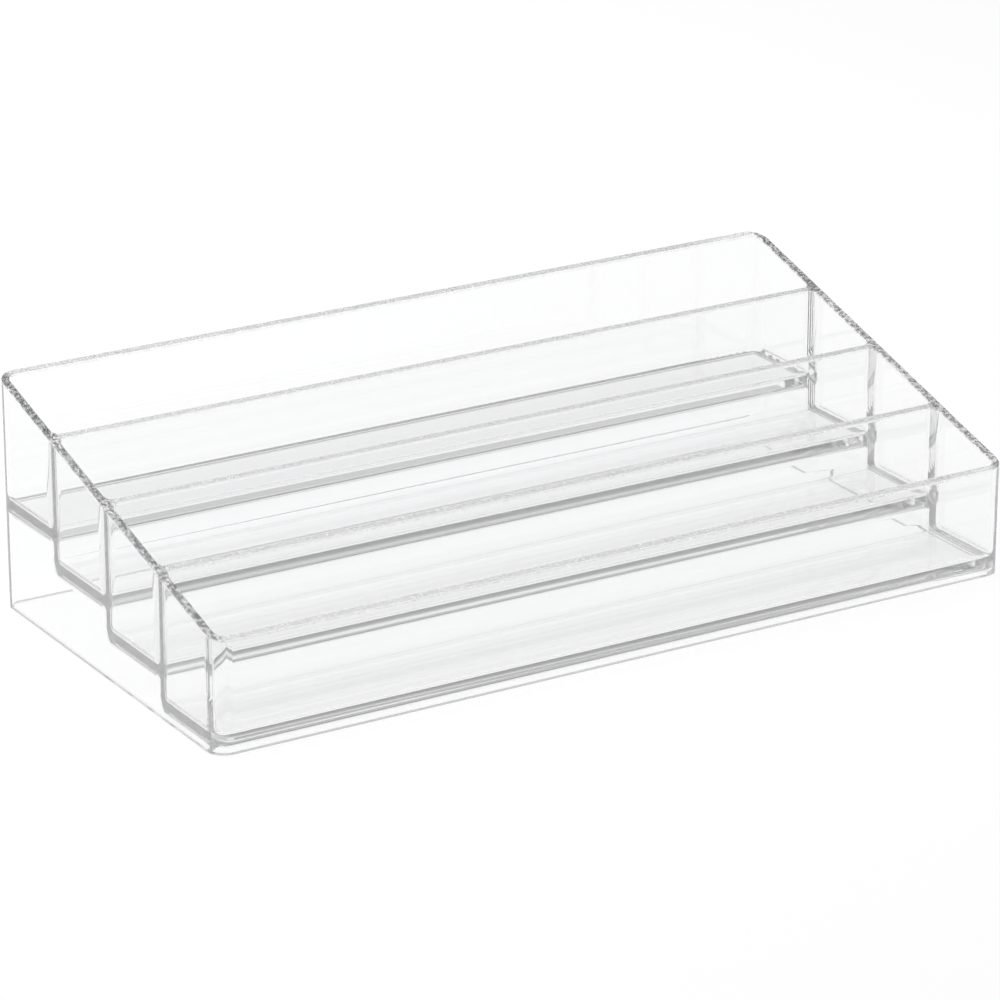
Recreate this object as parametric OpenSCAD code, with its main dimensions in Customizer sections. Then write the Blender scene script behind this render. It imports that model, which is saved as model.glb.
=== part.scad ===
// Clear vanity organizer with four stepped, full-width compartments.
// X runs along the width, Y from the front wall to the back wall, and Z up.
// The origin is the middle of the footprint, on the surface that the organizer stands on.
// Two end panels carry the rounded corners and the closed ends of the compartments. Between them
// lie a front panel, a back panel, three dividers and four floors, bonded edge to edge.

/* [Overall] */
// Width over the two end panels
overall_w = 330; // [240:5:420]
// Depth from the front face to the back face
overall_d = 165; // [140:1:220]
// Height of the sloping rim at the front face
front_h = 42; // [32:1:60]
// Height of the sloping rim at the back face
back_h = 89; // [76:1:120]

/* [Walls] */
// Thickness of the end, front and back walls
outer_t = 3.2; // [2.2:0.2:4.4]
// Thickness of the dividers between the compartments
divider_t = 3; // [2:0.2:4]
// Thickness of the compartment floors
floor_t = 3; // [2:0.2:4.4]

/* [Tiers] */
// Height of the skirt that shows below the front floor
skirt_h = 3; // [1:0.2:6]
// Rise from one floor to the next
tier_rise = 11.7; // [9:0.1:13]

/* [Rounding] */
// Plan radius of the four outer corners
corner_r = 7; // [5:0.5:12]
// Radius of the fillets round the inside of each compartment
pocket_r = 3; // [1.5:0.5:4]
// Radius of the bend under the foot of each divider
bend_r = 3.5; // [2:0.5:5]
// Radius of the fillets below the floors, along the risers and the outer walls
crease_r = 2.5; // [0.5:0.5:3]

/* [Hidden] */
$fn = 64;

// Compartments from front to back, and the spacing of the walls that part them
tiers = 4;
pitch = (overall_d - outer_t) / tiers;
// Length of wall that an end panel carries round its corners, and what is left between the two
end_len = max(corner_r, outer_t + pocket_r);
mid_w = overall_w - 2 * end_len;
// How far a cut runs past the solid, and how far joined outlines reach into each other
overrun = outer_t;
lap = min(outer_t, divider_t) / 2;
// Tint of the clear plastic
clear_tint = [0.86, 0.9, 0.92];

// Height of the rim at a distance y behind the front face
function rim_z(y) = front_h + (back_h - front_h) * y / overall_d;
// Underside and upper face of floor i, counted from the front
function under_z(i) = skirt_h + tier_rise * i;
function floor_z(i) = under_z(i) + floor_t;
// Radius of the fillet below floor i. It stays on the foot that carries it, and above the table.
function under_r(i) = min(crease_r, pocket_r, under_z(i));
// Middle plane of divider i, which stands between compartments i - 1 and i
function divider_y(i) = outer_t / 2 + pitch * i;
// Front and back of the clear space in compartment i
function pocket_front(i) = i == 0 ? outer_t : divider_y(i) + divider_t / 2;
function pocket_back(i) = i == tiers - 1 ? overall_d - outer_t : divider_y(i + 1) - divider_t / 2;

// Turns an outline drawn as Y across and Z up into a solid that runs along X
module along_x(length) {
    translate([0, -overall_d / 2, 0])
        rotate([90, 0, 90])
            linear_extrude(height = length, center = true)
                children();
}

// Rectangle with rounded corners, centred
module rounded_rectangle(w, d, r) {
    square([w - 2 * r, d], center = true);
    square([w, d - 2 * r], center = true);
    for (sx = [-1, 1], sy = [-1, 1])
        translate([sx * (w / 2 - r), sy * (d / 2 - r)])
            circle(r);
}

// Side view of the whole organizer, with the rim sloping up from front to back
module side_outline() {
    polygon([[0, 0], [overall_d, 0], [overall_d, back_h], [0, front_h]]);
}

// Side view of an upright wall from y to y + t, cut off at the rim
module wall_outline(y, t, bottom) {
    intersection() {
        translate([y, bottom])
            square([t, back_h]);
        side_outline();
    }
}

// Short length of floor that a wall carries at its foot, with the fillet on top of it.
// It starts at a wall face at y, on underside i, and runs forwards or backwards.
module foot_outline(y, i, backwards = true) {
    translate([y, under_z(i)])
        mirror([backwards ? 0 : 1, 0])
            difference() {
                translate([-lap, 0])
                    square([pocket_r + lap, floor_t + pocket_r]);
                translate([pocket_r, floor_t + pocket_r])
                    circle(pocket_r);
            }
}

// Fillet below floor i, in the crease at a wall face at y
module crease_outline(y, i, backwards = true) {
    r = under_r(i);
    translate([y, under_z(i)])
        mirror([backwards ? 0 : 1, 0])
            difference() {
                translate([-lap, -r])
                    square([r + lap, r + lap]);
                translate([r, -r])
                    circle(r);
            }
}

// What the bend takes off the square corner under divider i
module bend_cut_outline(i) {
    difference() {
        translate([pocket_front(i) - bend_r, under_z(i - 1) - overrun])
            square([bend_r + overrun, bend_r + overrun]);
        translate([pocket_front(i) - bend_r, under_z(i - 1) + bend_r])
            circle(bend_r);
    }
}

// Clear space between the end walls, from front to back and from z = 0 up, with fillets of radius r
// round its foot and its upright edges
module clear_space(front, back, r) {
    w = overall_w - 2 * outer_t;
    d = back - front;
    x_edge = w / 2 - r;
    y_edge = d / 2 - r;
    translate([0, (front + back - overall_d) / 2, 0]) {
        translate([0, 0, r])
            linear_extrude(height = back_h)
                rounded_rectangle(w, d, r);
        linear_extrude(height = 2 * r)
            square([2 * x_edge, 2 * y_edge], center = true);
        for (side = [-1, 1]) {
            translate([0, side * y_edge, r])
                rotate([0, 90, 0])
                    cylinder(h = 2 * x_edge, r = r, center = true);
            translate([side * x_edge, 0, r])
                rotate([90, 0, 0])
                    cylinder(h = 2 * y_edge, r = r, center = true);
            for (end = [-1, 1])
                translate([side * x_edge, end * y_edge, r])
                    sphere(r);
        }
    }
}

// Clear space of compartment i
module pocket(i) {
    translate([0, 0, floor_z(i)])
        clear_space(pocket_front(i), pocket_back(i), pocket_r);
}

// Hollow below floor i, which opens downwards and runs on to the back wall below the floors behind it
module hollow(i) {
    translate([0, 0, under_z(i)])
        mirror([0, 0, 1])
            clear_space(pocket_front(i), overall_d - outer_t, under_r(i));
}

// End of the organizer at +X: the end wall with its rounded corners, and the closed ends of the
// four compartments, cut off square where the long pieces are bonded on
module end_panel() {
    difference() {
        intersection() {
            linear_extrude(height = back_h)
                rounded_rectangle(overall_w, overall_d, corner_r);
            along_x(overall_w)
                side_outline();
            translate([mid_w / 2, -overall_d / 2, 0])
                cube([end_len, overall_d, back_h]);
        }
        for (i = [0 : tiers - 1])
            pocket(i);
        intersection() {
            translate([0, 0, -overrun])
                linear_extrude(height = back_h)
                    rounded_rectangle(overall_w - 2 * outer_t, overall_d - 2 * outer_t, corner_r - outer_t);
            union() {
                for (i = [0 : tiers - 1])
                    hollow(i);
                for (i = [1 : tiers - 1])
                    along_x(overall_w - 2 * (outer_t + under_r(i)))
                        bend_cut_outline(i);
            }
        }
    }
}

module left_end_panel() {
    color(clear_tint)
        mirror([1, 0, 0])
            end_panel();
}

module right_end_panel() {
    color(clear_tint)
        end_panel();
}

module front_panel() {
    color(clear_tint)
        along_x(mid_w) {
            wall_outline(0, outer_t, 0);
            foot_outline(outer_t, 0);
            crease_outline(outer_t, 0);
        }
}

module back_panel() {
    color(clear_tint)
        along_x(mid_w) {
            wall_outline(overall_d - outer_t, outer_t, 0);
            foot_outline(overall_d - outer_t, tiers - 1, backwards = false);
            crease_outline(overall_d - outer_t, tiers - 1, backwards = false);
        }
}

// Divider i: it carries the back edge of the floor in front of it, bent up into the riser, and the
// front edge of the next floor on its back
module divider(i) {
    color(clear_tint)
        along_x(mid_w)
            difference() {
                union() {
                    wall_outline(pocket_front(i) - divider_t, divider_t, under_z(i - 1));
                    foot_outline(pocket_back(i - 1), i - 1, backwards = false);
                    foot_outline(pocket_front(i), i);
                    crease_outline(pocket_front(i), i);
                }
                bend_cut_outline(i);
            }
}

module front_divider() {
    divider(1);
}

module middle_divider() {
    divider(2);
}

module rear_divider() {
    divider(3);
}

// Flat floor of compartment i, between the feet of the walls on either side
module floor_slab(i) {
    front = pocket_front(i) + pocket_r;
    back = pocket_back(i) - pocket_r;
    color(clear_tint)
        translate([-mid_w / 2, front - overall_d / 2, under_z(i)])
            cube([mid_w, back - front, floor_t]);
}

module front_floor() {
    floor_slab(0);
}

module second_floor() {
    floor_slab(1);
}

module third_floor() {
    floor_slab(2);
}

module rear_floor() {
    floor_slab(3);
}

left_end_panel();
right_end_panel();
front_panel();
back_panel();
front_divider();
middle_divider();
rear_divider();
front_floor();
second_floor();
third_floor();
rear_floor();
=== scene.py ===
import math

import bmesh
import bpy
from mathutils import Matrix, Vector


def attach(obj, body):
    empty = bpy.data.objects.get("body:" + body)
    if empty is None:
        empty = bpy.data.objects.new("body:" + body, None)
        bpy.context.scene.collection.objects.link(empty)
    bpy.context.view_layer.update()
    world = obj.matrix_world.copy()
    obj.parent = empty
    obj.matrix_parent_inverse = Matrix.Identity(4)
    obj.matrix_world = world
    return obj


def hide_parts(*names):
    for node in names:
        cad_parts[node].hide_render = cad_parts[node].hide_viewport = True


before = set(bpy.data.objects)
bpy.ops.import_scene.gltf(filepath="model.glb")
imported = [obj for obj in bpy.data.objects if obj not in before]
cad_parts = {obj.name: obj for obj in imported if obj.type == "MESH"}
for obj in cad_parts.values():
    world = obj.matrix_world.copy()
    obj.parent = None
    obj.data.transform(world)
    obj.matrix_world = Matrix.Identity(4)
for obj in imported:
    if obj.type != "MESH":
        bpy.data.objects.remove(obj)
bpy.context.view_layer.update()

MM = 0.001

# Sizes of the organizer in millimetres, as in the part's source. Y is measured from the front face.
OVERALL_W = 330
OVERALL_D = 165
FRONT_H = 42
BACK_H = 89
OUTER_T = 3.2
DIVIDER_T = 3
FLOOR_T = 3
SKIRT_H = 3
TIER_RISE = 11.7
CORNER_R = 7
POCKET_R = 3
BEND_R = 3.5
CREASE_R = 2.5
TIERS = 4
PITCH = (OVERALL_D - OUTER_T) / TIERS
RIM_SLOPE = (BACK_H - FRONT_H) / OVERALL_D
# Inner faces of the end walls and of the back wall
WALL_X = OVERALL_W / 2 - OUTER_T
WALL_Y = OVERALL_D - OUTER_T
# Plane in which the long pieces are bonded to the end panels
BOND_X = OVERALL_W / 2 - CORNER_R
# Small rounding of the rim, and of the lower edge that it stands on
RIM_R = 0.5
FOOT_R = 0.12

# Straight pieces that stand for a quarter turn
ARC = 10
# How far the forms that hollow out an end panel run past it, along X and above its rim
PAST_END = 1
PAST_TOP = 5
# The hollow below the floors is what a plan and a side view share. Both start below the table, at these
# heights, and the plan ends above the highest floor.
SIDE_LOW = -5
PLAN_LOW = -4
PLAN_HIGH = BACK_H / 2
# Spare length of an end panel before it is cut off square at the bond, and how near a point has to be
# to that cut to count as on it
SPARE = 8
ON_CUT = 0.0005
# Points nearer to each other than this are welded, and shorter edges than this are dropped
WELD = 0.002
SLIVER = 0.001
# How nearly a face has to lie in a joint plane to be bonded: its direction, and its place in metres
BOND_TURN = 1e-4
BOND_OFF = 1e-6
# Edges that turn by more degrees than this stay sharp
SHARP_TURN = 28

# Clear plastic: its tint at each face, how fast it greys with depth, per metre, its index of
# refraction, and the share of a lamp's light that each face lets through to the floor
PLASTIC_TINT = (0.978, 0.98, 0.982)
PLASTIC_GREY = 1.5
PLASTIC_IOR = 1.5
LAMP_SHARE = 0.965
# Height of the moulded waves on its faces and of the ripples on its rim, in millimetres, and the scale
# of their noise
WAVE_DEPTH = 0.05
WAVE_SCALE = 24
RIPPLE_DEPTH = 0.6
RIPPLE_SCALE = 700
# How far the marks of an edge reach from the rim or from the lower edge, in millimetres
EDGE_REACH = 1
# Tint of the dust and painted shade on its end rims
DUST_AND_SHADE_TINT = (0.2, 0.2, 0.21)
# Roughness of the dulled lower edge and of the scuffs, and the scale of wiped patches and hairlines
FOOT_DULL = 0.05
SCUFF_DULL = 0.07
PATCH_SCALE = 30
HAIRLINE_SCALE = 340

# Camera at the photograph's viewing angle: its place in metres, how far it turns down and aside, in
# degrees, its lens and sensor in millimetres, and how near and how far it sees, in metres
CAMERA_PLACE = (-0.8599, -1.417, 0.6633)
CAMERA_DOWN = 20.777
CAMERA_ASIDE = 31.163
CAMERA_LENS = 174.6
CAMERA_SENSOR = 36
CAMERA_SIGHT = (0.05, 40)
# White floor: how far it reaches and how far below the organizer it lies, in metres, its own grey, and
# the glow that makes it white
FLOOR_REACH = 7
FLOOR_GAP = 0.0006
FLOOR_GREY = 0.45
FLOOR_ROUGHNESS = 0.9
FLOOR_GLOW = 0.565
# Brightness of the surround that shows in the plastic, by the sine of its height above the horizon
SURROUND = ((0.0, 0.97), (0.14, 0.85), (0.34, 0.66), (0.55, 0.42), (0.75, 0.3), (1.0, 0.3))
# Brightness of the even surround that lights the floor
SURROUND_LIGHT = 0.5
# Softbox above the organizer: its sides and place in metres, and its power in watts
SOFTBOX_SIDES = (1.6, 1.2)
SOFTBOX_PLACE = (-0.3, 0.5, 1.7)
SOFTBOX_POWER = 21
# Turns that a ray may take inside the plastic, and from one matt surface to another
CLEAR_TURNS = 160
MATT_TURNS = 2


def rim_z(y):
    return FRONT_H + RIM_SLOPE * y


def under_z(tier):
    return SKIRT_H + TIER_RISE * tier


def floor_z(tier):
    return under_z(tier) + FLOOR_T


def pocket_front(tier):
    return OUTER_T if tier == 0 else OUTER_T / 2 + PITCH * tier + DIVIDER_T / 2


def pocket_back(tier):
    return WALL_Y if tier == TIERS - 1 else OUTER_T / 2 + PITCH * (tier + 1) - DIVIDER_T / 2


# Side views of the long pieces. Each corner is its distance from the front face, its height and its
# radius.
def front_panel_section():
    foot = OUTER_T + POCKET_R
    return [
        (0, 0, FOOT_R), (OUTER_T, 0, FOOT_R), (OUTER_T, under_z(0), CREASE_R),
        (foot, under_z(0), 0), (foot, floor_z(0), 0), (OUTER_T, floor_z(0), POCKET_R),
        (OUTER_T, rim_z(OUTER_T), RIM_R), (0, rim_z(0), RIM_R),
    ]


def back_panel_section():
    foot = WALL_Y - POCKET_R
    last = TIERS - 1
    return [
        (OVERALL_D, 0, FOOT_R), (OVERALL_D, rim_z(OVERALL_D), RIM_R), (WALL_Y, rim_z(WALL_Y), RIM_R),
        (WALL_Y, floor_z(last), POCKET_R), (foot, floor_z(last), 0), (foot, under_z(last), 0),
        (WALL_Y, under_z(last), CREASE_R), (WALL_Y, 0, FOOT_R),
    ]


def divider_section(tier):
    front = pocket_back(tier - 1)
    back = pocket_front(tier)
    return [
        (front - POCKET_R, under_z(tier - 1), 0), (back, under_z(tier - 1), BEND_R),
        (back, under_z(tier), CREASE_R), (back + POCKET_R, under_z(tier), 0),
        (back + POCKET_R, floor_z(tier), 0), (back, floor_z(tier), POCKET_R),
        (back, rim_z(back), RIM_R), (front, rim_z(front), RIM_R),
        (front, floor_z(tier - 1), POCKET_R), (front - POCKET_R, floor_z(tier - 1), 0),
    ]


def floor_section(tier):
    front = pocket_front(tier) + POCKET_R
    back = pocket_back(tier) - POCKET_R
    return [
        (front, under_z(tier), 0), (back, under_z(tier), 0),
        (back, floor_z(tier), 0), (front, floor_z(tier), 0),
    ]


def underside_section():
    """Side view of the stepped hollow below the floors."""
    corners = [
        (OUTER_T, SIDE_LOW, 0), (WALL_Y, SIDE_LOW, 0), (WALL_Y, under_z(TIERS - 1), CREASE_R)]
    for tier in range(TIERS - 1, 0, -1):
        corners.append((pocket_front(tier), under_z(tier), CREASE_R))
        corners.append((pocket_front(tier), under_z(tier - 1), BEND_R))
    corners.append((OUTER_T, under_z(0), CREASE_R))
    return corners


# Geometry Nodes tree that rounds the corners of a side view and draws it out along X
def make_drawn_section_tree():
    tree = bpy.data.node_groups.new("drawn section", "GeometryNodeTree")
    for name, kind in (
        ("Section", "NodeSocketGeometry"), ("Length", "NodeSocketFloat"),
        ("Arc Segments", "NodeSocketInt"), ("Finish", "NodeSocketMaterial"),
    ):
        tree.interface.new_socket(name, in_out="INPUT", socket_type=kind)
    tree.interface.new_socket("Piece", in_out="OUTPUT", socket_type="NodeSocketGeometry")

    def add(kind, **settings):
        node = tree.nodes.new(kind)
        for key, value in settings.items():
            setattr(node, key, value)
        return node

    link = tree.links.new
    given = add("NodeGroupInput")
    result = add("NodeGroupOutput")
    outline = add("GeometryNodeMeshToCurve")
    radius = add("GeometryNodeInputNamedAttribute", data_type="FLOAT")
    radius.inputs["Name"].default_value = "corner_radius"
    rounded = add("GeometryNodeFilletCurve", mode="POLY")
    filled = add("GeometryNodeFillCurve", mode="NGONS")
    drawn = add("GeometryNodeExtrudeMesh", mode="FACES")
    drawn.inputs["Individual"].default_value = False
    along = add("ShaderNodeCombineXYZ")
    back_face = add("GeometryNodeFlipFaces")
    joined = add("GeometryNodeJoinGeometry")
    welded = add("GeometryNodeMergeByDistance")
    welded.inputs["Distance"].default_value = WELD * MM
    half = add("ShaderNodeMath", operation="MULTIPLY")
    half.inputs[1].default_value = -0.5
    start = add("ShaderNodeCombineXYZ")
    turned = add("GeometryNodeTransform")
    turned.inputs["Rotation"].default_value = (math.pi / 2, 0, math.pi / 2)
    real = add("GeometryNodeRealizeInstances")
    finished = add("GeometryNodeSetMaterial")

    link(given.outputs["Section"], outline.inputs["Mesh"])
    link(outline.outputs["Curve"], rounded.inputs["Curve"])
    link(radius.outputs["Attribute"], rounded.inputs["Radius"])
    link(given.outputs["Arc Segments"], rounded.inputs["Count"])
    link(rounded.outputs["Curve"], filled.inputs["Curve"])
    link(filled.outputs["Mesh"], drawn.inputs["Mesh"])
    link(given.outputs["Length"], along.inputs["Z"])
    link(along.outputs["Vector"], drawn.inputs["Offset"])
    link(filled.outputs["Mesh"], back_face.inputs["Mesh"])
    link(drawn.outputs["Mesh"], joined.inputs["Geometry"])
    link(back_face.outputs["Mesh"], joined.inputs["Geometry"])
    link(joined.outputs["Geometry"], welded.inputs["Geometry"])
    link(given.outputs["Length"], half.inputs[0])
    link(half.outputs["Value"], start.inputs["X"])
    link(start.outputs["Vector"], turned.inputs["Translation"])
    link(welded.outputs["Geometry"], turned.inputs["Geometry"])
    link(turned.outputs["Geometry"], real.inputs["Geometry"])
    link(real.outputs["Geometry"], finished.inputs["Geometry"])
    link(given.outputs["Finish"], finished.inputs["Material"])
    link(finished.outputs["Geometry"], result.inputs["Piece"])
    return tree


def socket_id(tree, name):
    """Identifier of a tree's input, by its name."""
    for item in tree.interface.items_tree:
        if item.item_type == "SOCKET" and item.in_out == "INPUT" and item.name == name:
            return item.identifier
    raise KeyError(name)


def shown_object(name, data):
    made = bpy.data.objects.new(name, data)
    bpy.context.scene.collection.objects.link(made)
    return made


def settle(made):
    """Turns an object and its modifiers into a plain mesh."""
    depsgraph = bpy.context.evaluated_depsgraph_get()
    plain = bpy.data.meshes.new_from_object(made.evaluated_get(depsgraph), depsgraph=depsgraph)
    made.modifiers.clear()
    old = made.data
    made.data = plain
    plain.name = made.name
    bpy.data.meshes.remove(old)
    return made


def one_finish(piece, finish):
    """Leaves a piece one material slot, with this finish on every face."""
    mesh = piece.data
    mesh.materials.clear()
    mesh.materials.append(finish)
    mesh.polygons.foreach_set("material_index", [0] * len(mesh.polygons))
    return piece


def drawn_piece(name, corners, length, tree, finish):
    """A piece with one side view over its whole length, centred on X."""
    outline = bpy.data.meshes.new(name)
    points = [((y - OVERALL_D / 2) * MM, z * MM, 0) for y, z, r in corners]
    outline.from_pydata(points, [(i, (i + 1) % len(points)) for i in range(len(points))], [])
    radii = outline.attributes.new("corner_radius", "FLOAT", "POINT")
    radii.data.foreach_set("value", [r * MM for y, z, r in corners])
    made = shown_object(name, outline)
    modifier = made.modifiers.new("drawn section", "NODES")
    modifier.node_group = tree
    modifier[socket_id(tree, "Length")] = length * MM
    modifier[socket_id(tree, "Arc Segments")] = ARC
    modifier[socket_id(tree, "Finish")] = finish
    return one_finish(settle(made), finish)


# Solids made of rings, for the end panels
def quarter(step):
    """Angle after that many steps of a quarter turn."""
    return math.pi / 2 * step / ARC


def edge_round(radius, slope):
    """Points round the edge of an upright face and a top face, which rises by slope away from it.

    Each point is its distance into the material and its height above the edge.
    """
    down = Vector((0, -1))
    across = Vector((1, slope)).normalized()
    angle = down.angle(across)
    tangent = radius / math.tan(angle / 2)
    centre = (down + across).normalized() * radius / math.sin(angle / 2)
    first = down * tangent - centre
    turn = math.pi - angle
    points = []
    for step in range(ARC + 1):
        a = -turn * step / ARC
        points.append((
            centre.x + first.x * math.cos(a) - first.y * math.sin(a),
            centre.y + first.x * math.sin(a) + first.y * math.cos(a),
        ))
    return points


def corner_path(x_start, x_end, front, back, radius):
    """Plan path from the front edge round two corners to the back edge.

    Each point is its place and its outward direction.
    """
    path = [(x_start, front, 0, -1)]
    for middle, start in ((front + radius, -math.pi / 2), (back - radius, 0)):
        for step in range(ARC + 1):
            a = start + quarter(step)
            path.append((
                x_end - radius + radius * math.cos(a), middle + radius * math.sin(a),
                math.cos(a), math.sin(a),
            ))
    path.append((x_start, back, 0, 1))
    return path


def level_ring(path, outwards, z):
    """A ring at one height, with the path moved outwards."""
    return [(x + nx * outwards, y + ny * outwards, z) for x, y, nx, ny in path]


def rim_rings(path, outwards):
    """Rings over the rounded rim. They move outwards for a hollow, 1, and inwards for a solid, -1."""
    rounds = [edge_round(RIM_R, outwards * RIM_SLOPE * ny) for x, y, nx, ny in path]
    rings = []
    for step in range(ARC + 1):
        ring = []
        for (x, y, nx, ny), points in zip(path, rounds):
            into, above = points[step]
            ring.append((x + outwards * nx * into, y + outwards * ny * into, rim_z(y) + above))
        rings.append(ring)
    return rings


def weld(form):
    """Joins points that lie on each other, and drops slivers."""
    bmesh.ops.remove_doubles(form, verts=form.verts, dist=WELD * MM)
    bmesh.ops.dissolve_degenerate(form, edges=form.edges, dist=SLIVER * MM)


def ring_solid(name, rings):
    """A closed solid through rings of points, in millimetres."""
    form = bmesh.new()
    loops = []
    for ring in rings:
        loops.append([form.verts.new((x * MM, (y - OVERALL_D / 2) * MM, z * MM)) for x, y, z in ring])
    count = len(rings[0])
    for low, high in zip(loops, loops[1:]):
        for i in range(count):
            j = (i + 1) % count
            form.faces.new((low[i], low[j], high[j], high[i]))
    form.faces.new(list(reversed(loops[0])))
    form.faces.new(loops[-1])
    weld(form)
    bmesh.ops.recalc_face_normals(form, faces=form.faces)
    mesh = bpy.data.meshes.new(name)
    form.to_mesh(mesh)
    form.free()
    return shown_object(name, mesh)


def combine(solid, tool, operation):
    """Cuts a solid with a tool, or keeps what they share. The tool is used up."""
    change = solid.modifiers.new("combine", "BOOLEAN")
    change.object = tool
    change.operation = operation
    change.solver = "EXACT"
    settle(solid)
    bpy.data.meshes.remove(tool.data)
    return solid


def outer_block(x_start):
    """End of the organizer without its hollows, from x_start outwards."""
    path = corner_path(x_start, OVERALL_W / 2, 0, OVERALL_D, CORNER_R)
    foot = [level_ring(path, -into, -above) for into, above in reversed(edge_round(FOOT_R, 0))]
    return ring_solid("block", foot + rim_rings(path, -1))


def pocket_tool(x_start, tier):
    """Clear space in one compartment, widened at the rounded rim."""
    path = corner_path(x_start, WALL_X, pocket_front(tier), pocket_back(tier), POCKET_R)
    rings = []
    for step in range(ARC + 1):
        a = quarter(step)
        rings.append(level_ring(
            path, -POCKET_R * (1 - math.sin(a)), floor_z(tier) + POCKET_R * (1 - math.cos(a))))
    rings += rim_rings(path, 1)
    rings.append([(x, y, z + PAST_TOP) for x, y, z in rings[-1]])
    return ring_solid("pocket", rings)


def inset_outline(corners, inset):
    """Points round a square-cornered side view whose edges move inwards, with its corners rounded.

    The inside lies to the left of each edge. An outward corner, where the outline turns left, gets a
    smaller radius as it moves in, and an inward corner a larger one.
    """
    points = []
    for i, (y, z, radius) in enumerate(corners):
        before, after = corners[i - 1], corners[(i + 1) % len(corners)]
        along = Vector((y - before[0], z - before[1])).normalized()
        away = Vector((after[0] - y, after[1] - z)).normalized()
        inwards = Vector((-along.y, along.x))
        turn = 1 if inwards.dot(away) > 0 else -1
        r = max(radius - turn * inset, 0)
        corner = Vector((y, z)) + inset * (inwards + Vector((-away.y, away.x)))
        centre = corner - along * r + inwards * turn * r
        for step in range(ARC + 1):
            a = quarter(step)
            points.append(centre + r * (along * math.sin(a) - inwards * turn * math.cos(a)))
    return points


def stepped_hollow(x_start):
    """The hollow below the floors, drawn along X, with fillets where it ends at the end wall."""
    side_view = underside_section()
    places = [(x_start, 0)]
    for step in range(ARC + 1):
        a = quarter(step)
        places.append((WALL_X - CREASE_R * (1 - math.sin(a)), CREASE_R * (1 - math.cos(a))))
    places.append((WALL_X + PAST_END, CREASE_R))
    return ring_solid("steps", [
        [(x, point.x, point.y) for point in inset_outline(side_view, inset)] for x, inset in places])


def underside_tool(x_start):
    """Hollow below the floors, with rounded plan corners and a rounded lower edge."""
    path = corner_path(x_start, WALL_X, OUTER_T, WALL_Y, CORNER_R - OUTER_T)
    edge = edge_round(FOOT_R, 0)
    rings = [level_ring(path, edge[-1][0], PLAN_LOW)]
    rings += [level_ring(path, into, -above) for into, above in reversed(edge)]
    rings.append(level_ring(path, 0, PLAN_HIGH))
    return combine(ring_solid("underside", rings), stepped_hollow(x_start - PAST_END), "INTERSECT")


def end_panel(name, side, finish):
    """End wall at +X with the closed ends of the compartments, or its mirror image where side is -1."""
    x_start = BOND_X - SPARE
    block = outer_block(x_start)
    for tier in range(TIERS):
        combine(block, pocket_tool(x_start - PAST_END, tier), "DIFFERENCE")
    combine(block, underside_tool(x_start - PAST_END), "DIFFERENCE")
    form = bmesh.new()
    form.from_mesh(block.data)
    weld(form)
    bmesh.ops.bisect_plane(
        form, geom=form.verts[:] + form.edges[:] + form.faces[:], dist=ON_CUT * MM,
        plane_co=(BOND_X * MM, 0, 0), plane_no=(-1, 0, 0), clear_outer=True,
    )
    bmesh.ops.contextual_create(form, geom=[edge for edge in form.edges if edge.is_boundary])
    if side < 0:
        bmesh.ops.scale(form, vec=(-1, 1, 1), verts=form.verts)
    bmesh.ops.recalc_face_normals(form, faces=form.faces)
    form.to_mesh(block.data)
    form.free()
    block.name = block.data.name = name
    return one_finish(block, finish)


clear_plastic = bpy.data.materials.new("clear plastic")
bonded_joint = bpy.data.materials.new("bonded joint")


def bond_faces(piece, planes):
    """Gives the faces in the joint planes the bonded finish. Each plane is an axis and its place."""
    mesh = piece.data
    mesh.materials.append(bonded_joint)
    for face in mesh.polygons:
        for axis, place in planes:
            squarely = abs(abs(face.normal[axis]) - 1) < BOND_TURN
            if squarely and abs(face.center[axis] - place * MM) < BOND_OFF:
                face.material_index = 1


def soften(piece):
    """Smooth shading over the rounded parts, with flat faces kept flat."""
    mesh = piece.data
    for face in mesh.polygons:
        face.use_smooth = True
    mesh.set_sharp_from_angle(angle=math.radians(SHARP_TURN))
    weighted = piece.modifiers.new("weighted normals", "WEIGHTED_NORMAL")
    weighted.mode = "FACE_AREA"
    weighted.keep_sharp = True
    return settle(piece)


def joint_y(*places):
    """Joint planes across Y, at these distances from the front face."""
    return [(1, place - OVERALL_D / 2) for place in places]


drawn_section = make_drawn_section_tree()
pieces = {}
sections = {
    "front_panel": (front_panel_section(), joint_y(OUTER_T + POCKET_R)),
    "back_panel": (back_panel_section(), joint_y(WALL_Y - POCKET_R)),
}
for tier, name in ((1, "front_divider"), (2, "middle_divider"), (3, "rear_divider")):
    sections[name] = (
        divider_section(tier), joint_y(pocket_back(tier - 1) - POCKET_R, pocket_front(tier) + POCKET_R))
for tier, name in enumerate(("front_floor", "second_floor", "third_floor", "rear_floor")):
    sections[name] = (
        floor_section(tier), joint_y(pocket_front(tier) + POCKET_R, pocket_back(tier) - POCKET_R))
for name, (corners, joints) in sections.items():
    piece = drawn_piece("clear_" + name, corners, 2 * BOND_X, drawn_section, clear_plastic)
    bond_faces(piece, [(0, -BOND_X), (0, BOND_X)] + joints)
    pieces[name] = piece
for name, side in (("left_end_panel", -1), ("right_end_panel", 1)):
    piece = end_panel("clear_" + name, side, clear_plastic)
    bond_faces(piece, [(0, side * BOND_X)])
    pieces[name] = piece
for name, piece in pieces.items():
    soften(piece)
    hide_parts(name)
    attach(piece, "root")


# Helpers for node trees
def feed(tree, socket, value):
    """Sets an input to a number or colour, or links it to an output."""
    if isinstance(value, bpy.types.NodeSocket):
        tree.links.new(value, socket)
    else:
        socket.default_value = value


def worked_out(tree, operation, first, second=0.0, clamp=False):
    """Output of a Math node."""
    node = tree.nodes.new("ShaderNodeMath")
    node.operation = operation
    node.use_clamp = clamp
    feed(tree, node.inputs[0], first)
    feed(tree, node.inputs[1], second)
    return node.outputs[0]


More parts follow.
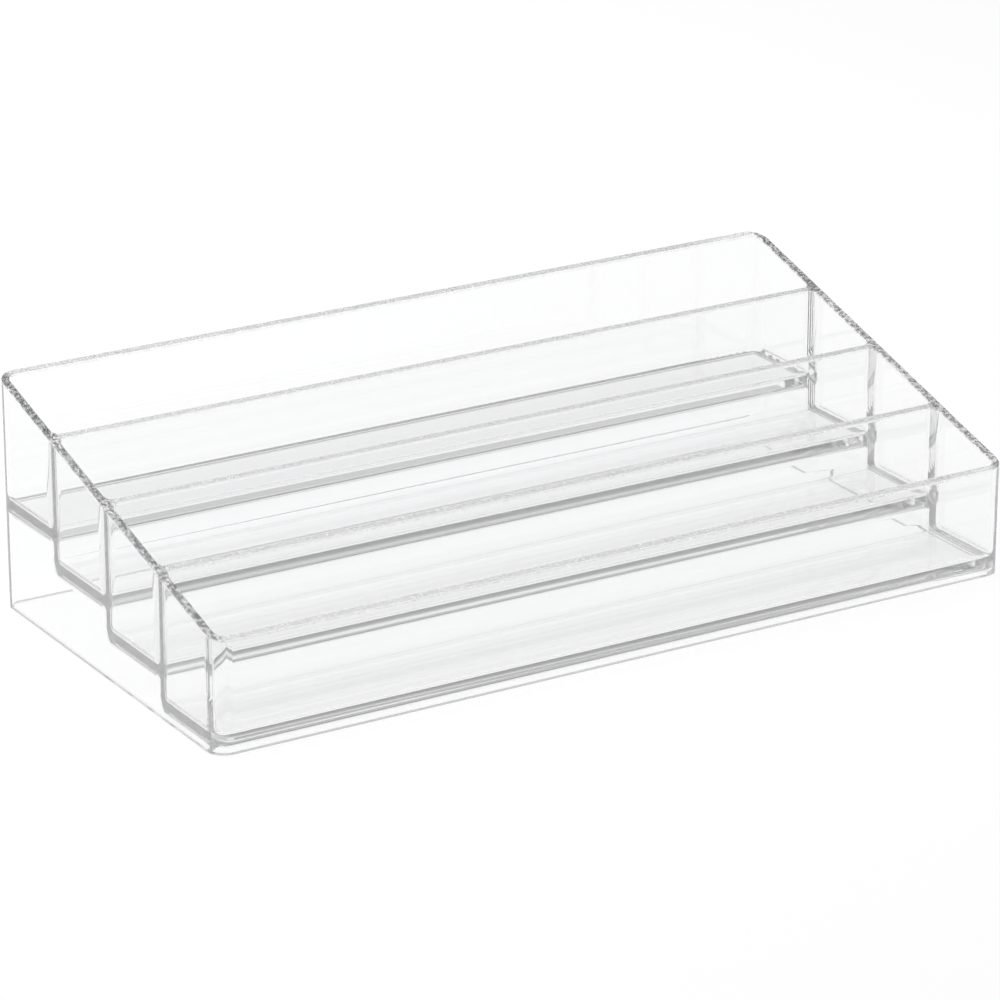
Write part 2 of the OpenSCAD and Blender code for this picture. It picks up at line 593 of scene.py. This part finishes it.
def spread(tree, value, low, high, to_low=0.0, to_high=1.0):
    """Output of a Map Range node with soft ends."""
    node = tree.nodes.new("ShaderNodeMapRange")
    node.interpolation_type = "SMOOTHSTEP"
    for name, given in (
        ("Value", value), ("From Min", low), ("From Max", high), ("To Min", to_low), ("To Max", to_high),
    ):
        feed(tree, node.inputs[name], given)
    return node.outputs["Result"]


def blended(tree, amount, first, second):
    """Output 2 of a Mix node between two colours, which are its inputs 6 and 7."""
    node = tree.nodes.new("ShaderNodeMix")
    node.data_type = "RGBA"
    feed(tree, node.inputs["Factor"], amount)
    feed(tree, node.inputs[6], first)
    feed(tree, node.inputs[7], second)
    return node.outputs[2]


def noise(tree, place, scale, detail=1.0, stretch=(1, 1, 1)):
    """Output of a Noise Texture node on stretched coordinates."""
    mapping = tree.nodes.new("ShaderNodeMapping")
    mapping.inputs["Scale"].default_value = stretch
    tree.links.new(place, mapping.inputs["Vector"])
    node = tree.nodes.new("ShaderNodeTexNoise")
    tree.links.new(mapping.outputs["Vector"], node.inputs["Vector"])
    feed(tree, node.inputs["Scale"], scale)
    feed(tree, node.inputs["Detail"], detail)
    return node.outputs["Fac"]


def new_effect(name, inputs, outputs):
    """An empty shader node group: its tree, what it is given, its results, and Object coordinates."""
    tree = bpy.data.node_groups.new(name, "ShaderNodeTree")
    for label in inputs:
        tree.interface.new_socket(label, in_out="INPUT", socket_type="NodeSocketFloat")
    for label in outputs:
        tree.interface.new_socket(label, in_out="OUTPUT", socket_type="NodeSocketFloat")
    given = tree.nodes.new("NodeGroupInput").outputs
    result = tree.nodes.new("NodeGroupOutput").inputs
    place = tree.nodes.new("ShaderNodeTexCoord").outputs["Object"]
    return tree, given, result, place


def placed(tree, effect, **values):
    """Puts an effect into a material, with its own values. Underscores stand for spaces."""
    node = tree.nodes.new("ShaderNodeGroup")
    node.node_tree = effect
    for name, value in values.items():
        feed(tree, node.inputs[name.replace("_", " ")], value)
    return node.outputs


# Effects of the clear plastic
def make_edge_marks():
    """Marks of the lower edge and of the sloping rim.

    The rim has fine ripples, and dark specks at the two ends, partly dust and partly painted shade that
    darkens the end rims.
    """
    # Inwards from the end walls, over this length in metres, the dust and painted shade thin out to this
    # share
    thinning, thin = 0.003, 0.1
    # Levels of the grain at which a speck starts and is full
    speck, full = 0.45, 0.53
    tree, given, result, place = new_effect(
        "edge marks", ["Front Height", "Slope", "Depth", "Grain", "End"], ["Foot", "Ripple", "Dust And Shade"])
    parts = tree.nodes.new("ShaderNodeSeparateXYZ")
    tree.links.new(place, parts.inputs[0])
    from_front = worked_out(tree, "ADD", parts.outputs["Y"], OVERALL_D / 2 * MM)
    rim_height = worked_out(
        tree, "ADD", given["Front Height"], worked_out(tree, "MULTIPLY", from_front, given["Slope"]))
    below = worked_out(tree, "SUBTRACT", rim_height, parts.outputs["Z"])
    rim = spread(tree, below, 0.0, given["Depth"], 1.0, 0.0)
    foot = spread(tree, parts.outputs["Z"], 0.0, given["Depth"], 1.0, 0.0)
    grain = noise(tree, place, given["Grain"], detail=2.0)
    ripple = worked_out(tree, "MULTIPLY", rim, grain)
    from_middle = worked_out(tree, "ABSOLUTE", parts.outputs["X"])
    inside_end = worked_out(tree, "SUBTRACT", given["End"], thinning)
    at_end_rims = spread(tree, from_middle, inside_end, given["End"], thin, 1.0)
    # Dark specks on the end rims, partly dust and partly painted shade that darkens the rims
    dust_and_shade = worked_out(
        tree, "MULTIPLY", worked_out(tree, "MULTIPLY", rim, at_end_rims), spread(tree, grain, speck, full))
    for name, mark in (("Foot", foot), ("Ripple", ripple), ("Dust And Shade", dust_and_shade)):
        tree.links.new(mark, result[name])
    return tree


def make_moulded_waves():
    """Slow waves along the panes, left by the flow of the plastic."""
    long_waves = (0.3, 1, 1)
    tree, given, result, place = new_effect("moulded waves", ["Scale", "Detail"], ["Height"])
    waves = noise(tree, place, given["Scale"], given["Detail"], long_waves)
    tree.links.new(waves, result["Height"])
    return tree


def make_fine_scuffs():
    """Faint hairlines in wiped patches, as a clear tray gets in use."""
    # Levels of the noise at which a patch or a hairline starts and is full, the share of a scuff that is
    # left between hairlines, and how hairlines are drawn out along X
    patch, full_patch = 0.48, 0.7
    hairline, full_hairline = 0.55, 0.7
    between = 0.25
    drawn_out = (0.04, 1, 1)
    tree, given, result, place = new_effect("fine scuffs", ["Patch Scale", "Line Scale"], ["Mask"])
    wiped = spread(tree, noise(tree, place, given["Patch Scale"]), patch, full_patch)
    streaks = noise(tree, place, given["Line Scale"], stretch=drawn_out)
    lines = spread(tree, streaks, hairline, full_hairline, between)
    tree.links.new(worked_out(tree, "MULTIPLY", wiped, lines), result["Mask"])
    return tree


# Finishes
def fill_clear_plastic(material):
    """Clear plastic that greys with the way through it, and lets lamps through to the floor."""
    material.use_nodes = True
    tree = material.node_tree
    nodes, link = tree.nodes, tree.links.new
    nodes.clear()
    output = nodes.new("ShaderNodeOutputMaterial")
    plastic = nodes.new("ShaderNodeBsdfPrincipled")
    plastic.inputs["IOR"].default_value = PLASTIC_IOR
    plastic.inputs["Transmission Weight"].default_value = 1

    edges = placed(
        tree, make_edge_marks(), Front_Height=FRONT_H * MM, Slope=RIM_SLOPE, Depth=EDGE_REACH * MM,
        Grain=RIPPLE_SCALE, End=WALL_X * MM)
    # Base colour with the dark specks of the end rims: partly dust, partly painted shade
    tint_with_dust_and_shade = blended(tree, edges["Dust And Shade"], (*PLASTIC_TINT, 1), (*DUST_AND_SHADE_TINT, 1))
    feed(tree, plastic.inputs["Base Color"], tint_with_dust_and_shade)
    scuffs = placed(tree, make_fine_scuffs(), Patch_Scale=PATCH_SCALE, Line_Scale=HAIRLINE_SCALE)
    dulled = worked_out(tree, "MULTIPLY", edges["Foot"], FOOT_DULL)
    scuffed = worked_out(tree, "MULTIPLY", scuffs["Mask"], SCUFF_DULL)
    feed(tree, plastic.inputs["Roughness"], worked_out(tree, "MAXIMUM", dulled, scuffed))
    waves = placed(tree, make_moulded_waves(), Scale=WAVE_SCALE, Detail=1.0)
    height = worked_out(
        tree, "ADD", worked_out(tree, "MULTIPLY", waves["Height"], WAVE_DEPTH),
        worked_out(tree, "MULTIPLY", edges["Ripple"], RIPPLE_DEPTH))
    bump = nodes.new("ShaderNodeBump")
    bump.inputs["Strength"].default_value = 1
    bump.inputs["Distance"].default_value = MM
    link(height, bump.inputs["Height"])
    link(bump.outputs["Normal"], plastic.inputs["Normal"])

    # A ray that meets a face from inside has come through the plastic, and loses light by its length
    path = nodes.new("ShaderNodeLightPath").outputs
    side = nodes.new("ShaderNodeNewGeometry").outputs
    left = worked_out(tree, "EXPONENT", worked_out(tree, "MULTIPLY", path["Ray Length"], -PLASTIC_GREY))
    lost = worked_out(tree, "MULTIPLY", worked_out(tree, "SUBTRACT", 1, left), side["Backfacing"])
    darkened = nodes.new("ShaderNodeMixShader")
    link(lost, darkened.inputs["Fac"])
    link(plastic.outputs["BSDF"], darkened.inputs[1])
    lamps_pass = nodes.new("ShaderNodeBsdfTransparent")
    lamps_pass.inputs["Color"].default_value = (LAMP_SHARE, LAMP_SHARE, LAMP_SHARE, 1)
    mix = nodes.new("ShaderNodeMixShader")
    link(path["Is Shadow Ray"], mix.inputs["Fac"])
    link(darkened.outputs["Shader"], mix.inputs[1])
    link(lamps_pass.outputs["BSDF"], mix.inputs[2])
    link(mix.outputs["Shader"], output.inputs["Surface"])


def fill_bonded_joint(material):
    """Joint faces, which don't show because the cement joins the plastic on both sides."""
    material.use_nodes = True
    plastic = material.node_tree.nodes["Principled BSDF"]
    plastic.inputs["Base Color"].default_value = (*PLASTIC_TINT, 1)
    plastic.inputs["Alpha"].default_value = 0


fill_clear_plastic(clear_plastic)
fill_bonded_joint(bonded_joint)


# Camera, floor, world and lamp
def add_camera():
    data = bpy.data.cameras.new("camera")
    data.lens = CAMERA_LENS
    data.sensor_width = CAMERA_SENSOR
    data.clip_start, data.clip_end = CAMERA_SIGHT
    camera = shown_object("camera", data)
    camera.location = CAMERA_PLACE
    camera.rotation_euler = (math.radians(90 - CAMERA_DOWN), 0, math.radians(-CAMERA_ASIDE))
    bpy.context.scene.camera = camera


def through_plastic(tree, path):
    """1 for a ray that the plastic reflects or lets through, and 0 for others. It may count as both."""
    return worked_out(tree, "ADD", path["Is Glossy Ray"], path["Is Transmission Ray"], clamp=True)


def unscattered(tree, path):
    """1 for a ray that no matt surface has scattered, and 0 for others."""
    return worked_out(tree, "LESS_THAN", path["Diffuse Depth"], 0.5)


def add_floor():
    mesh = bpy.data.meshes.new("floor")
    corners = [
        (x * FLOOR_REACH, y * FLOOR_REACH, -FLOOR_GAP) for x, y in ((-1, -1), (1, -1), (1, 1), (-1, 1))]
    mesh.from_pydata(corners, [], [(0, 1, 2, 3)])
    floor = shown_object("floor", mesh)
    material = bpy.data.materials.new("white floor")
    material.use_nodes = True
    plain = material.node_tree.nodes["Principled BSDF"]
    plain.inputs["Base Color"].default_value = (FLOOR_GREY, FLOOR_GREY, FLOOR_GREY, 1)
    plain.inputs["Roughness"].default_value = FLOOR_ROUGHNESS
    plain.inputs["Specular IOR Level"].default_value = 0
    plain.inputs["Emission Color"].default_value = (1, 1, 1, 1)
    tree = material.node_tree
    path = tree.nodes.new("ShaderNodeLightPath").outputs
    shown = worked_out(tree, "ADD", path["Is Camera Ray"], through_plastic(tree, path), clamp=True)
    lit = worked_out(tree, "MULTIPLY", shown, unscattered(tree, path))
    feed(tree, plain.inputs["Emission Strength"], worked_out(tree, "MULTIPLY", lit, FLOOR_GLOW))
    mesh.materials.append(material)


def add_world():
    """White for the camera, darker with height for rays from the plastic, and even for the floor."""
    world = bpy.data.worlds.new("studio")
    bpy.context.scene.world = world
    world.use_nodes = True
    world.cycles.sampling_method = "NONE"
    tree = world.node_tree
    nodes, link = tree.nodes, tree.links.new
    nodes.clear()
    output = nodes.new("ShaderNodeOutputWorld")
    path = nodes.new("ShaderNodeLightPath").outputs
    place = nodes.new("ShaderNodeTexCoord")
    parts = nodes.new("ShaderNodeSeparateXYZ")
    link(place.outputs["Generated"], parts.inputs[0])
    heights = nodes.new("ShaderNodeValToRGB")
    ramp = heights.color_ramp
    while len(ramp.elements) < len(SURROUND):
        ramp.elements.new(0.5)
    for element, (position, level) in zip(ramp.elements, SURROUND):
        element.position = position
        element.color = (level, level, level, 1)
    link(parts.outputs["Z"], heights.inputs["Fac"])
    in_plastic = worked_out(tree, "MULTIPLY", through_plastic(tree, path), unscattered(tree, path))
    even = (SURROUND_LIGHT, SURROUND_LIGHT, SURROUND_LIGHT, 1)
    lighting = blended(tree, in_plastic, even, heights.outputs["Color"])
    glow = nodes.new("ShaderNodeBackground")
    link(blended(tree, path["Is Camera Ray"], lighting, (1, 1, 1, 1)), glow.inputs["Color"])
    link(glow.outputs["Background"], output.inputs["Surface"])


def add_lamp():
    data = bpy.data.lights.new("softbox", "AREA")
    data.shape = "RECTANGLE"
    data.size, data.size_y = SOFTBOX_SIDES
    data.energy = SOFTBOX_POWER
    lamp = shown_object("softbox", data)
    lamp.visible_transmission = False
    lamp.location = SOFTBOX_PLACE
    lamp.rotation_euler = (-lamp.location).to_track_quat("-Z", "Y").to_euler()


add_camera()
add_floor()
add_world()
add_lamp()

scene = bpy.context.scene
scene.view_settings.view_transform = "Standard"
scene.cycles.max_bounces = CLEAR_TURNS
scene.cycles.transmission_bounces = CLEAR_TURNS
scene.cycles.glossy_bounces = CLEAR_TURNS
scene.cycles.transparent_max_bounces = CLEAR_TURNS
scene.cycles.diffuse_bounces = MATT_TURNS
scene.cycles.blur_glossy = 0
scene.cycles.sample_clamp_indirect = 0
